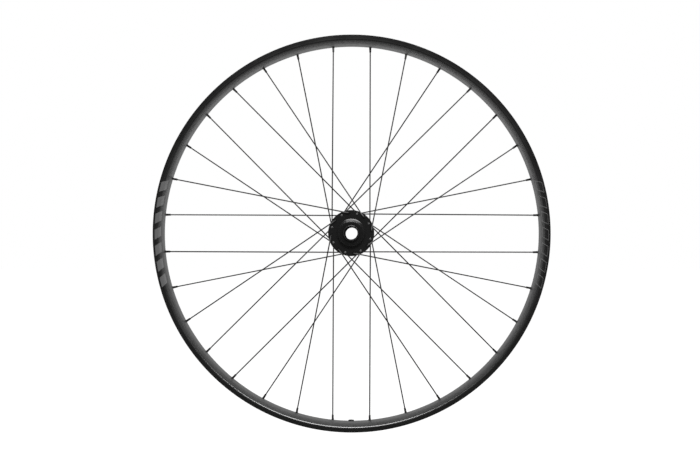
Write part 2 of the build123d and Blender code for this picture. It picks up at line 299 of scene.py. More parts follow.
class FinishSettings(PropertyGroup):
    """Colours of the wheel."""

    rim: colour("Rim", 0.009, "Anodised hoop")
    stripe: colour("Stripe", 0.12, "Plain bars on the sidewalls")
    hub: colour("Hub", 0.008, "Anodised shell")
    cap: colour("Caps", 0.006, "Anodised end caps")
    spoke: colour("Spokes", 0.006, "Blackened wire")
    # Painted highlight: a paler grey that stands in for the glint on the spokes' heads and elbows
    painted_glint: colour("Painted glint on wire", 0.16, "Painted highlights on the spokes' heads and elbows")
    nipple: colour("Nipples", 0.012, "Blackened nipples")
    alloy: colour("Sleeve", 0.3, "Bare turned alloy")
    steel: colour("Bearing rings", 0.45, "Ground steel")
    rubber: colour("Rubber", 0.012, "Seals and valve bush")


class StageSettings(PropertyGroup):
    """The studio."""

    camera_distance: length("Camera distance", 2770.0, "From the camera to the middle of the wheel")
    lens: FloatProperty(
        name="Lens", description="Focal length", default=88.92, unit="CAMERA", subtype="DISTANCE_CAMERA"
    )
    camera_side: length("Camera side", 35.0, "How far the camera stands to the right of the axle")
    camera_drop: length("Camera drop", 35.0, "How far the camera stands below the axle")
    camera_roll: FloatProperty(
        name="Camera roll",
        description="Turn of the camera about its view",
        default=math.radians(0.1),
        unit="ROTATION",
    )
    shift: FloatVectorProperty(
        name="Shift", description="Shift of the picture", default=(-0.00214, -0.00012), size=2, precision=5
    )
    floor_drop: length("Floor", 250.0, "From the lowest point of the rim to the floor")
    floor_size: length("Floor size", 60000.0, "Length of the floor's side")
    floor_front: length("Floor front", 100.0, "How far the floor comes out before the wheel")
    floor: colour("Floor colour", 0.9, "Colour of the floor")
    floor_glow: share("Floor glow", 0.45, "What is added where the floor is seen, so that it reads as white")
    softbox_power: FloatProperty(
        name="Softbox", description="Power of the light above the camera", default=47.0, unit="POWER"
    )
    softbox_place: FloatVectorProperty(
        name="Softbox place",
        description="Where the light above the camera hangs",
        default=(0.22, -2.0, 1.75),
        subtype="TRANSLATION",
    )
    softbox_width: length("Softbox width", 1800.0, "Width of the light above the camera")
    softbox_height: length("Softbox height", 800.0, "Height of the light above the camera")
    front_shade: share("Front shade", 0.012, "Brightness of the room behind the camera in reflections")
    room_light: share("Room light", 0.65, "Brightness of the white room")


class WheelSettings(PropertyGroup):
    """Everything about the wheel that can be changed."""

    rim: PointerProperty(type=RimSettings)
    spokes: PointerProperty(type=SpokeSettings)
    nipples: PointerProperty(type=NippleSettings)
    hub: PointerProperty(type=HubSettings)
    axle: PointerProperty(type=AxleSettings)
    bush: PointerProperty(type=BushSettings)
    bars: PointerProperty(type=BarSettings)
    finish: PointerProperty(type=FinishSettings)
    stage: PointerProperty(type=StageSettings)


def polar(radius, angle, y=0.0):
    """Point at a radius and an angle in degrees about the axle, y along it."""
    turn = math.radians(angle)
    return Vector((radius * math.cos(turn), y, radius * math.sin(turn)))


def placement(point, way):
    """Puts a piece that was made along Y at a point, pointing the given way."""
    along = way.normalized()
    beside = AXLE if abs(along.dot(AXLE)) < NEARLY_ALONG else Vector((1, 0, 0))
    across = (beside - along * along.dot(beside)).normalized()
    third = across.cross(along)
    turned = Matrix((across, along, third)).transposed().to_4x4()
    return Matrix.Translation(point) @ turned


class Spoke:
    """Where one spoke runs, counted from the valve hole."""

    def __init__(self, wheel, index):
        lacing, hub, rim = wheel.spokes, wheel.hub, wheel.rim
        self.side = RIGHT if index % 2 == 0 else LEFT
        self.turn = HEAD_OUT if index % SPOKE_KINDS < SPOKE_KINDS / 2 else HEAD_IN
        self.node = f"{SIDES[self.side]}_spoke_{index // 2 + 1:02d}"
        pitch = 360.0 / lacing.count
        lead = 2 * pitch * lacing.crosses
        self.rim_angle = VALVE_ANGLE + (index + 0.5) * pitch
        hub_angle = self.rim_angle + self.turn * lead
        inset = hub.right_flange_inset if self.side == RIGHT else hub.left_flange_inset
        circle = hub.right_circle if self.side == RIGHT else hub.left_circle
        offset = shell_end[self.side] - inset
        reach = circle / 2
        seat_radius = rim.radius - rim.depth + rim.bed_wall
        self.hole = polar(reach, hub_angle, self.side * offset)
        self.seat = polar(seat_radius, self.rim_angle, self.side * lacing.stagger)
        self.crossing = self.find_crossing(lacing, reach, seat_radius, offset, hub_angle, lead, pitch)
        pin = Vector((0, -self.side * self.turn, 0))
        self.head = self.hole - pin * (hub.flange / 2 + lacing.head_gap)
        self.elbow = self.hole + pin * (hub.flange / 2 + lacing.standoff)
        self.nipple_way = (self.seat - self.crossing).normalized()
        self.end = self.seat + self.nipple_way * lacing.end_past_seat

    def find_crossing(self, lacing, reach, seat_radius, offset, hub_angle, lead, pitch):
        """Where the spoke passes its partner: one from the flange's outer face goes inside there."""
        lead_turn = math.radians(lead)
        span = math.sqrt(reach**2 + seat_radius**2 - 2 * reach * seat_radius * math.cos(lead_turn))
        nearest = reach * seat_radius * math.sin(lead_turn) / span
        hole_swing = math.degrees(math.acos(nearest / reach))
        swing = (lacing.crosses - 0.5) * 2 * pitch
        radius = nearest / math.cos(math.radians(hole_swing + swing))
        gone = (math.sqrt(radius**2 - nearest**2) - math.sqrt(reach**2 - nearest**2)) / span
        middle = offset * (1 - gone) + lacing.stagger * gone
        depth = middle + self.turn * (lacing.wire + lacing.interlace_gap) / 2
        return polar(radius, hub_angle - self.turn * swing, self.side * depth)


def spokes_of(wheel, side=None):
    """All spokes of the wheel, or those of one side."""
    spokes = [Spoke(wheel, index) for index in range(wheel.spokes.count)]
    return [spoke for spoke in spokes if side in (None, spoke.side)]


def choose(piece):
    """Makes a piece the only selected one."""
    bpy.ops.object.select_all(action="DESELECT")
    piece.select_set(True)
    bpy.context.view_layer.objects.active = piece


def start_with(primitive, name, **settings):
    """Adds a primitive with nothing else selected, and puts its place into its mesh."""
    bpy.ops.object.select_all(action="DESELECT")
    primitive(**settings)
    piece = bpy.context.object
    piece.name = name
    bpy.ops.object.transform_apply(location=True, rotation=True, scale=True)
    return piece


def clean_mesh():
    """Merges doubled points of the mesh in edit mode, and points its faces outwards."""
    bpy.ops.mesh.select_all(action="SELECT")
    bpy.ops.mesh.remove_doubles(threshold=MERGE)
    bpy.ops.mesh.normals_make_consistent(inside=False)


class Outline:
    """Half section of a turned piece: X is the distance from the axis, and Y runs along it."""

    def __init__(self, name, start):
        self.piece = start_with(bpy.ops.mesh.primitive_plane_add, name, size=MM, location=(*start, 0))
        bpy.ops.object.mode_set(mode="EDIT")
        bpy.ops.mesh.select_all(action="SELECT")
        bpy.ops.mesh.merge(type="CENTER")
        self.start = Vector((*start, 0))
        self.at = self.start.copy()

    def line(self, *corners):
        """Draws straight to each corner in turn."""
        for corner in corners:
            step = Vector((*corner, 0)) - self.at
            bpy.ops.mesh.extrude_region_move(TRANSFORM_OT_translate={"value": step})
            self.at += step

    def arc(self, corner, bulge, steps=ARC_STEPS):
        """Draws an arc to a corner, whose middle stands off its chord to the left."""
        end = Vector((*corner, 0))
        chord = end - self.at
        left = Vector((-chord.y, chord.x, 0)).normalized()
        radius = (chord.length_squared / 4 + bulge**2) / (2 * bulge)
        centre = (self.at + end) / 2 + left * (bulge - radius)
        sweep = 4 * math.atan(2 * bulge / chord.length)
        bpy.ops.mesh.spin(steps=steps, angle=sweep, center=centre, axis=(0, 0, 1))
        self.at = end

    def close(self):
        """Draws back to the start."""
        self.line(self.start.xy)
        bpy.ops.mesh.select_all(action="SELECT")
        bpy.ops.mesh.remove_doubles(threshold=MERGE)

    def round(self, radius, *corners):
        """Rounds corners of the outline to a radius."""
        for corner in corners:
            mesh = bmesh.from_edit_mesh(self.piece.data)
            place = Vector((*corner, 0))
            nearest = min(mesh.verts, key=lambda vertex: (vertex.co - place).length)
            for vertex in mesh.verts:
                vertex.select_set(vertex is nearest)
            mesh.select_flush_mode()
            before, after = [edge.other_vert(nearest).co - nearest.co for edge in nearest.link_edges]
            tangent = radius * math.tan((math.pi - before.angle(after)) / 2)
            bmesh.update_edit_mesh(self.piece.data)
            bpy.ops.mesh.bevel(
                offset_type="OFFSET", offset=tangent, segments=ROUND_STEPS, affect="VERTICES"
            )

    def turn(self, steps):
        """Turns the outline about the axis, and gives back the piece."""
        bpy.ops.mesh.select_all(action="SELECT")
        bpy.ops.mesh.spin(steps=steps, angle=2 * math.pi, center=(0, 0, 0), axis=AXLE)
        clean_mesh()
        bpy.ops.object.mode_set(mode="OBJECT")
        return self.piece


class Wire:
    """A round wire that is drawn ring by ring from its head."""

    def __init__(self, name, at, way, radius):
        facing = way.to_track_quat("Z", "Y").to_euler()
        ring = {"vertices": WIRE_SIDES, "radius": radius, "location": at, "rotation": facing}
        self.piece = start_with(bpy.ops.mesh.primitive_circle_add, name, **ring)
        bpy.ops.object.mode_set(mode="EDIT")
        bpy.ops.mesh.select_all(action="SELECT")
        self.at = at.copy()
        self.way = way.copy()
        self.radius = radius

    def run(self, distance, radius=None):
        """Draws the wire on, and swells or thins it to a radius there."""
        step = self.way * distance
        bpy.ops.mesh.extrude_region_move(TRANSFORM_OT_translate={"value": step})
        self.at += step
        if radius:
            growth = radius / self.radius
            bpy.ops.transform.resize(value=(growth, growth, growth), center_override=self.at)
            self.radius = radius

    def bend(self, corner, beyond, radius, steps):
        """Draws the wire up to a corner and round it, towards a point beyond."""
        way = (beyond - corner).normalized()
        turn = self.way.angle(way)
        tangent = radius * math.tan(turn / 2)
        self.run((corner - self.at).length - tangent)
        inwards = (way - self.way * way.dot(self.way)).normalized()
        centre = self.at + inwards * radius
        axis = way.cross(self.way).normalized()
        bpy.ops.mesh.spin(steps=steps, angle=turn, center=centre, axis=axis)
        self.at = corner + way * tangent
        self.way = way

    def end(self):
        """Closes both ends, and gives back the piece."""
        bpy.ops.mesh.select_all(action="SELECT")
        bpy.ops.mesh.fill_holes(sides=0)
        clean_mesh()
        bpy.ops.object.mode_set(mode="OBJECT")
        return self.piece


def change_with(piece, kind, **settings):
    """Adds a modifier to a piece and applies it."""
    choose(piece)
    bpy.ops.object.modifier_add(type=kind)
    modifier = piece.modifiers[-1]
    for name, value in settings.items():
        setattr(modifier, name, value)
    bpy.ops.object.modifier_apply(modifier=modifier.name)


def cut(piece, tool):
    """Cuts a tool's shape out of a piece."""
    change_with(piece, "BOOLEAN", object=tool, operation="DIFFERENCE", solver="MANIFOLD")
    bpy.data.objects.remove(tool)


def weld(piece, other):
    """Makes another shape part of a piece."""
    change_with(piece, "BOOLEAN", object=other, operation="UNION", solver="MANIFOLD")
    bpy.data.objects.remove(other)


def mirror_across(piece):
    """Completes a piece that was drawn on one side of the wheel's middle plane."""
    change_with(piece, "MIRROR", use_axis=(False, True, False), merge_threshold=MIRROR_MERGE)
    bpy.ops.object.mode_set(mode="EDIT")
    clean_mesh()
    bpy.ops.object.mode_set(mode="OBJECT")


def copy_piece(pattern, name, place):
    """A copy of a piece with its own mesh, at a place."""
    copy = pattern.copy()
    copy.data = pattern.data.copy()
    copy.data.transform(place)
    copy.name = name
    bpy.context.collection.objects.link(copy)
    return copy


def copies(pattern, name, places):
    """One mesh of a pattern's copies. The pattern itself goes."""
    made = [copy_piece(pattern, name, place) for place in places]
    bpy.data.objects.remove(pattern)
    bpy.ops.object.select_all(action="DESELECT")
    for piece in made:
        piece.select_set(True)
    bpy.context.view_layer.objects.active = made[0]
    bpy.ops.object.join()
    return made[0]


def rod(name, radius, depth, sides=DRILL_SIDES):
    """A plain drill along Y, about the origin."""
    drill = {"vertices": sides, "radius": radius, "depth": depth, "rotation": (math.pi / 2, 0, 0)}
    return start_with(bpy.ops.mesh.primitive_cylinder_add, name, **drill)


def block(name, low, high):
    """A plain cutter between two corners."""
    low, high = Vector(low), Vector(high)
    cutter = {"size": 1, "location": (low + high) / 2, "scale": high - low}
    return start_with(bpy.ops.mesh.primitive_cube_add, name, **cutter)


def finish_piece(piece, body, slot, finish, *nodes):
    """Gives a modelled piece its shading, material and body, and hides the solids it stands for."""
    choose(piece)
    bpy.ops.object.shade_smooth_by_angle(angle=SMOOTH_ANGLE)
    change_with(piece, "WEIGHTED_NORMAL", keep_sharp=True)
    piece.data.materials.clear()
    piece.data.materials.append(finish)
    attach(piece, body)
    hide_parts(*nodes)


class Nodes:
    """A tree of nodes that are wired one after another."""

    def __init__(self, tree):
        self.tree = tree

    def add(self, kind, inputs=None, **settings):
        """Adds a node. An input that is another node's socket is linked, and a plain value is set."""
        node = self.tree.nodes.new(kind)
        for name, value in settings.items():
            setattr(node, name, value)
        for name, value in (inputs or {}).items():
            self.feed(node.inputs[name], value)
        return node

    def feed(self, socket, value):
        """Links or sets one socket."""
        if isinstance(value, NodeSocket):
            self.tree.links.new(value, socket)
        else:
            socket.default_value = value

    def math(self, operation, *values):
        """A sum, product or test of values and sockets."""
        return self.add("ShaderNodeMath", dict(enumerate(values)), operation=operation).outputs[0]

    def vector_math(self, operation, *values):
        """The same for vectors. It gives back all outputs, because they depend on the operation."""
        return self.add("ShaderNodeVectorMath", dict(enumerate(values)), operation=operation).outputs

    def split(self, vector):
        """X, Y and Z of a vector."""
        return self.add("ShaderNodeSeparateXYZ", {0: vector}).outputs

    def between(self, value, low, high, start=NOISE_LOW, end=NOISE_HIGH, **settings):
        """Spreads a value that runs from start to end over the range from low to high."""
        inputs = {"Value": value, "From Min": start, "From Max": end, "To Min": low, "To Max": high}
        return self.add("ShaderNodeMapRange", inputs, **settings).outputs["Result"]

    def mix(self, factor, first, second, kind="RGBA"):
        """Mixes two colours, or two plain values where the kind is FLOAT."""
        inputs = {"Factor": factor, "A": first, "B": second}
        return self.add("ShaderNodeMix", inputs, data_type=kind).outputs["Result"]


class Finish(Nodes):
    """A material with its nodes, on the piece's own coordinates."""

    def __init__(self, name):
        self.material = bpy.data.materials.new(name)
        self.material.use_nodes = True
        super().__init__(self.material.node_tree)
        self.shader = self.tree.nodes["Principled BSDF"]
        self.place = self.add("ShaderNodeTexCoord").outputs

    def set(self, socket, value):
        """Sets or feeds a socket of the surface."""
        self.feed(self.shader.inputs[socket], value)

    def noise(self, per_metre, detail):
        """Cloudy noise."""
        inputs = {"Vector": self.place["Object"], "Scale": per_metre, "Detail": detail}
        return self.add("ShaderNodeTexNoise", inputs).outputs["Fac"]

    def turned_marks(self, per_millimetre):
        """Rings left by the lathe, on faces and on cylinders alike."""
        y = self.split(self.place["Object"])["Y"]
        along = self.math("MULTIPLY", self.math("ADD", self.radius(), y), per_millimetre / MM)
        return self.add("ShaderNodeTexNoise", {"W": along}, noise_dimensions="1D").outputs["Fac"]

    def mottle(self, pattern, base, paler):
        """A base colour that is paler where a pattern is high."""
        return self.mix(pattern, rgba(base), rgba(channel * paler for channel in base))

    def bump(self, pattern, depth):
        """Lets a pattern stand out of the surface by a depth."""
        inputs = {"Height": pattern, "Distance": depth}
        self.set("Normal", self.add("ShaderNodeBump", inputs).outputs["Normal"])

    def radius(self):
        """Distance from the axle."""
        flat = self.vector_math("MULTIPLY", self.place["Object"], ACROSS)[0]
        return self.vector_math("LENGTH", flat)["Value"]

    def outwards(self):
        """How far the surface faces away from the axle, from -1 to 1."""
        products = self.vector_math("MULTIPLY", self.place["Normal"], self.place["Object"])[0]
        flat = self.vector_math("DOT_PRODUCT", products, ACROSS)["Value"]
        return self.math("DIVIDE", flat, self.radius())


def rgba(channels):
    """A colour as a socket takes it."""
    return (*channels, 1.0)


def rim_finish(wheel):
    """Satin black anodising with plain grey bars on one half and thin lines on the other."""
    rim = wheel.rim
    finish = Finish("satin_black_hoop")
    grain = finish.noise(per_metre=2600.0, detail=3.0)
    cloud = finish.noise(per_metre=38.0, detail=3.0)
    base = finish.mottle(cloud, wheel.finish.rim, paler=1.5)
    finish.set("Base Color", finish.mix(sidewall_bars(finish, wheel), base, rgba(wheel.finish.stripe)))
    bed, crease = rim.radius - rim.depth, rim.radius - rim.sidewall
    roughness = finish.between(cloud, low=0.19, high=0.25)
    for before, after, start, end in (SOFT_CREASE, SOFT_BELLY, POLISHED_WALL):
        change = finish.between(finish.radius(), before, after, crease + start, crease + end)
        roughness = finish.math("ADD", roughness, change)
    dull_bed = finish.between(finish.radius(), *BED_ROUGHNESS, bed, bed + BED_FADE)
    dull_channel = finish.between(finish.outwards(), *CHANNEL_ROUGHNESS, *CHANNEL_FACING)
    for least in (dull_bed, dull_channel):
        roughness = finish.math("MAXIMUM", roughness, least)
    finish.set("Roughness", roughness)
    finish.set("IOR", 2.06)
    finish.bump(grain, depth=0.002 * MM)
    return finish.material


def sidewall_bars(finish, wheel):
    """Where the sidewalls carry a row of slanted bars, and their outlines on the other half."""
    rim, bars = wheel.rim, wheel.bars
    place = finish.split(finish.place["Object"])
    facing = finish.split(finish.place["Normal"])["Y"]
    sideways = finish.math("MULTIPLY", facing, finish.math("SIGN", place["Y"]))
    on_wall = finish.math("GREATER_THAN", sideways, WALL_FACING)
    swing = finish.math("ARCTAN2", place["Z"], finish.math("ABSOLUTE", place["X"]))
    along = finish.math("MULTIPLY", swing, rim.radius)
    middle, half = rim.radius - (bars.near + bars.far) / 2, (bars.far - bars.near) / 2
    off_middle = finish.math("SUBTRACT", finish.radius(), middle)
    in_band = finish.math("COMPARE", off_middle, 0.0, half)
    in_reach = finish.math("COMPARE", along, 0.0, bars.reach)
    # A bar's middle lies at half a pitch
    slanted = finish.math("MULTIPLY_ADD", off_middle, bars.slant, along)
    step = finish.math("FRACT", finish.math("ADD", finish.math("DIVIDE", slanted, bars.pitch), 0.5))
    off_bar = finish.math("ABSOLUTE", finish.math("SUBTRACT", step, 0.5))
    bar = finish.math("COMPARE", step, 0.5, bars.half_bar)
    bar_edge = finish.math("COMPARE", off_bar, bars.half_bar, bars.line / bars.pitch)
    band_edge = finish.math("COMPARE", finish.math("ABSOLUTE", off_middle), half, bars.line)
    outline = finish.math("MAXIMUM", bar_edge, finish.math("MULTIPLY", band_edge, bar))
    filled_half = finish.math("LESS_THAN", place["X"], 0.0)
    drawn_half = finish.math("SUBTRACT", 1.0, filled_half)
    filled = finish.math("MULTIPLY", bar, filled_half)
    drawn = finish.math("MULTIPLY", outline, drawn_half)
    marks = finish.math("MAXIMUM", filled, drawn)
    within = finish.math("MULTIPLY", in_band, in_reach)
    return finish.math("MULTIPLY", finish.math("MULTIPLY", marks, within), on_wall)


def turned_finish(name, base, rings, gloss, roughness):
    """Anodised alloy that still shows the lathe's fine rings, so many to a millimetre."""
    finish = Finish(name)
    spread = 0.04
    marks = finish.turned_marks(rings)
    cloud = finish.noise(per_metre=60.0, detail=3.0)
    finish.set("Base Color", finish.mottle(cloud, base, paler=1.6))
    finish.set("Roughness", finish.between(marks, roughness - spread, roughness + spread))
    finish.set("IOR", gloss)
    finish.bump(marks, depth=0.0006 * MM)
    return finish.material


def bore_shade_finish(base):
    """Painted shade inside the axle's bore: the caps' black, dull and with almost no reflection, so that the
    hole reads dark.
    """
    finish = Finish("painted_shade_bore")
    cloud = finish.noise(per_metre=90.0, detail=3.0)
    finish.set("Base Color", finish.mottle(cloud, base, paler=1.6))
    finish.set("Roughness", finish.between(cloud, low=0.85, high=0.95))
    finish.set("Specular IOR Level", 0.02)
    finish.bump(finish.noise(per_metre=900.0, detail=2.0), depth=0.01 * MM)
    return finish.material


def line_bore(piece, finish):
    """Gives the wall of the axle's bore its own finish, the painted shade."""
    wall = mounts["axle_bore"]["dims"]["r_mm"] * MM + BORE_SKIN
    piece.data.materials.append(finish)
    for face in piece.data.polygons:
        if face.center.xz.length < wall:
            face.material_index = len(piece.data.materials) - 1


def wire_finish(name, base, roughness, painted_glint=None, glint_band=None):
    """Blackened wire and nuts with faint handling marks, and where a band is given, a painted highlight:
    paler patches round the hub that stand in for the glint on heads and elbows.
    """
    finish = Finish(name)
    spread = 0.06
    cloud = finish.noise(per_metre=220.0, detail=4.0)
    surface = finish.mottle(cloud, base, paler=1.8)
    # Painted highlight: within the band the base colour turns paler in patches, in place of the glint on the
    # wire
    if glint_band:
        low, high = glint_band
        before_end = finish.between(finish.radius(), 1.0, 0.0, high, high + GLINT_END)
        past_start = finish.between(finish.radius(), 0.0, 1.0, low - GLINT_START, low)
        glint_mask = finish.math("MULTIPLY", before_end, past_start)
        surface = finish.mix(finish.math("MULTIPLY", glint_mask, cloud), surface, rgba(painted_glint))
    finish.set("Base Color", surface)
    finish.set("Roughness", finish.between(cloud, roughness - spread, roughness + spread))
    finish.bump(finish.noise(per_metre=3000.0, detail=2.0), depth=0.004 * MM)
    return finish.material


def metal_finish(name, base, roughness):
    """Bare metal with turned rings."""
    finish = Finish(name)
    rings = finish.turned_marks(per_millimetre=5.0)
    finish.set("Base Color", finish.mottle(rings, base, paler=1.25))
    finish.set("Metallic", 1.0)
    finish.set("Roughness", finish.between(rings, low=roughness - 0.05, high=roughness + 0.08))
    finish.bump(rings, depth=0.004 * MM)
    return finish.material


def rubber_finish(name, base):
    """Matte moulded rubber."""
    finish = Finish(name)
    grain = finish.noise(per_metre=1800.0, detail=3.0)
    finish.set("Base Color", finish.mottle(grain, base, paler=2.0))
    finish.set("Roughness", finish.between(grain, low=0.6, high=0.75))
    finish.bump(grain, depth=0.02 * MM)
    return finish.material


def rim_outline(rim, name):
    """The outside of the hoop on one side of its middle plane."""
    bed, crease = rim.radius - rim.depth, rim.radius - rim.sidewall
    seat = rim.radius - rim.bead_seat
    floor = seat - rim.channel_depth
    bead_inside = rim.half_width - rim.bead_wall
    edge = rim.half_width - rim.sidewall_lean
    channel_half = rim.channel_width / 2
    shelf = channel_half + rim.channel_slope
    outline = Outline(name, (bed, 0))
    outline.line((bed, rim.bed_width / 2))
    outline.arc((crease, rim.half_width), rim.belly_bulge)
    outline.arc((rim.radius, edge), rim.sidewall_bulge, SIDEWALL_STEPS)
    outline.line((rim.radius, bead_inside), (seat, bead_inside))
    outline.line((seat, shelf), (floor, channel_half), (floor, 0))
    outline.round(rim.crease_round, (crease, rim.half_width))
    outline.round(rim.edge_round, (rim.radius, edge), (rim.radius, bead_inside))
    outline.round(rim.channel_round, (seat, bead_inside), (seat, shelf), (floor, channel_half))
    return outline


def chamber_outline(rim, name):
    """The hollow inside the hoop on one side of its middle plane."""
    seat = rim.radius - rim.bead_seat
    shelf_under, floor_under = seat - rim.wall, seat - rim.channel_depth - rim.wall
    bed_top = rim.radius - rim.depth + rim.bed_wall
    channel_half = rim.channel_width / 2
    outline = Outline(name, (floor_under, 0))
    outline.line((floor_under, channel_half), (shelf_under, channel_half + rim.channel_slope))
    outline.line((shelf_under, rim.half_width - rim.wall))
    outline.arc((bed_top, (rim.bed_width - rim.wall) / 2), -rim.belly_bulge)
    outline.line((bed_top, 0))
    return outline


class WHEEL_OT_rim(Operator):
    """Turns the hollow hoop and drills it for nipples, tools and the valve"""

    bl_idname = "wheel.rim"
    bl_label = "Rim"

    def execute(self, context):
        wheel = context.scene.wheel
        rim = wheel.rim
        hoop = rim_outline(rim, "rim_hoop").turn(RIM_STEPS)
        mirror_across(hoop)
        chamber = chamber_outline(rim, "rim_chamber").turn(CHAMBER_STEPS)
        mirror_across(chamber)
        cut(hoop, chamber)
        spokes = spokes_of(wheel)
        floor = rim.radius - rim.bead_seat - rim.channel_depth
        valve = polar((floor + rim.radius - rim.depth) / 2, VALVE_ANGLE)
        nipple_places = [placement(spoke.seat, spoke.nipple_way) for spoke in spokes]
        access_places = [self.access_place(spoke, floor) for spoke in spokes]
        for name, hole, depth, places in (
            ("nipple_drill", rim.nipple_hole, NIPPLE_DRILL, nipple_places),
            ("access_drill", rim.access_hole, ACCESS_DRILL, access_places),
            ("valve_drill", rim.valve_hole, VALVE_DRILL, [placement(valve, valve)]),
        ):
            cut(hoop, copies(rod(name, hole / 2, depth), f"{name}s", places))
        finish_piece(hoop, "wheel", "rim_anodised", rim_finish(wheel), "rim")
        return {"FINISHED"}

    @staticmethod
    def access_place(spoke, floor):
        """Over a nipple, in the floor of the tyre channel."""
        way = polar(1, spoke.rim_angle)
        return placement(polar(floor, spoke.rim_angle, spoke.seat.y), way)


class WHEEL_OT_valve_bush(Operator):
    """Turns the rubber bush and seats it in the valve hole"""

    bl_idname = "wheel.valve_bush"
    bl_label = "Valve Bush"

    def execute(self, context):
        wheel = context.scene.wheel
        bush = wheel.bush
        bore = mounts["valve_hole"]["dims"]["r_mm"] * MM
        collar, neck = bush.collar / 2, bush.neck / 2
        outline = Outline("valve_bush_collar", (bore, -bush.collar_height))
        outline.line((collar, -bush.collar_height), (collar, 0), (neck, 0), (neck, bush.neck_length))
        outline.line((bore, bush.neck_length))
        outline.close()
        outline.round(bush.collar_round, (collar, -bush.collar_height))
        outline.round(bush.collar_round / 2, (bore, -bush.collar_height), (neck, bush.neck_length))
        piece = outline.turn(BUSH_STEPS)
        seat = polar(wheel.rim.radius - wheel.rim.depth - bush.seat_gap, VALVE_ANGLE)
        piece.data.transform(placement(seat, seat))
        finish = rubber_finish("bush_rubber", wheel.finish.rubber)
        finish_piece(piece, "wheel", "rubber_black", finish, "valve_bush")
        return {"FINISHED"}


class WHEEL_OT_spokes(Operator):
    """Bends one spoke of each kind and copies it round the wheel"""

    bl_idname = "wheel.spokes"
    bl_label = "Spokes"

    def execute(self, context):
        wheel = context.scene.wheel
        black, painted_glint = wheel.finish.spoke, wheel.finish.painted_glint
        # Painted highlight: each kind of spoke gets paler patches near the flange, where the glint falls
        finishes = {
            HEAD_OUT: wire_finish("black_wire_painted_glint_head", black, WIRE_ROUGHNESS, painted_glint, GLINT_ON_HEADS),
            HEAD_IN: wire_finish("black_wire_painted_glint_elbow", black, WIRE_ROUGHNESS, painted_glint, GLINT_ON_ELBOWS),
        }
        spokes = spokes_of(wheel)
        for kind in range(SPOKE_KINDS):
            pattern = self.bend(spokes[kind], wheel.spokes)
            for spoke in spokes[kind::SPOKE_KINDS]:
                turn = math.radians(spoke.rim_angle - spokes[kind].rim_angle)
                piece = copy_piece(pattern, f"{spoke.node}_wire", Matrix.Rotation(-turn, 4, "Y"))
                finish_piece(piece, "wheel", "spoke_black", finishes[spoke.turn], spoke.node)
            bpy.data.objects.remove(pattern)
        return {"FINISHED"}

    @staticmethod
    def bend(spoke, lacing):
        """One spoke: a domed head, the elbow, and a long run that bows where it meets its partner."""
        head = lacing.head / 2
        pin = (spoke.elbow - spoke.head).normalized()
        wire = Wire("spoke_pattern", spoke.head - pin * lacing.head_height, pin, head * HEAD_TIP)
        for rise, width in HEAD_DOME:
            wire.run(lacing.head_height * rise, head * width)
        wire.run(0, lacing.wire / 2)
        wire.bend(spoke.elbow, spoke.crossing, lacing.elbow, ELBOW_STEPS)
        wire.bend(spoke.crossing, spoke.end, lacing.bow, BOW_STEPS)
        wire.run((spoke.end - wire.at).length)
        return wire.end()


class WHEEL_OT_nipples(Operator):
    """Turns one nipple, mills its flats and slot, and sets a copy on every spoke"""

    bl_idname = "wheel.nipples"
    bl_label = "Nipples"

    def execute(self, context):
        wheel = context.scene.wheel
        finish = wire_finish("black_nipple", wheel.finish.nipple, NIPPLE_ROUGHNESS)
        for side, name in SIDES.items():
            places = [placement(spoke.seat, spoke.nipple_way) for spoke in spokes_of(wheel, side)]
            nipples = copies(self.turn(wheel), f"{name}_nipple_set", places)
            finish_piece(nipples, "wheel", "nipple_black", finish, f"{name}_nipples")
        return {"FINISHED"}

    @staticmethod
    def turn(wheel):
        """One nipple, with the spoke's entry towards -Y and the seat at the origin."""
        nipple = wheel.nipples
        bore, barrel, head = nipple.bore / 2, nipple.barrel / 2, nipple.head / 2
        tip, chamfer = -wheel.rim.bed_wall - nipple.proud, nipple.tip_chamfer
        blind = wheel.spokes.end_past_seat + chamfer
        top, top_chamfer = nipple.head_top, nipple.head_chamfer
        outline = Outline("nipple_pattern", (0, blind))
        outline.line((bore, blind), (bore, tip + chamfer), (bore + chamfer / 2, tip))
        outline.line((barrel - chamfer, tip), (barrel, tip + chamfer), (barrel, -nipple.cone_below))
        outline.line((head, nipple.cone_above), (head, top - top_chamfer))
        outline.line((head - top_chamfer, top), (0, top))
        piece = outline.turn(SMALL_STEPS)
        shoulder, beyond = -wheel.rim.bed_wall - nipple.collar, tip - SPARE
        flats, slot, slot_floor = nipple.flats / 2, nipple.slot_width / 2, top - nipple.slot_depth
        narrow = flats * MILL_SHARE
        mills = []
        for sign in (-1, 1):
            near, far = sorted((sign * flats, sign * head))
            mills.append(block("flat_mill", (near, beyond, -head), (far, shoulder, head)))
            mills.append(block("flat_mill", (-narrow, beyond, near), (narrow, shoulder, far)))
        mills.append(block("slot_mill", (-slot, slot_floor, -2 * head), (slot, top + SPARE, 2 * head)))
        for mill in mills:
            cut(piece, mill)
        return piece


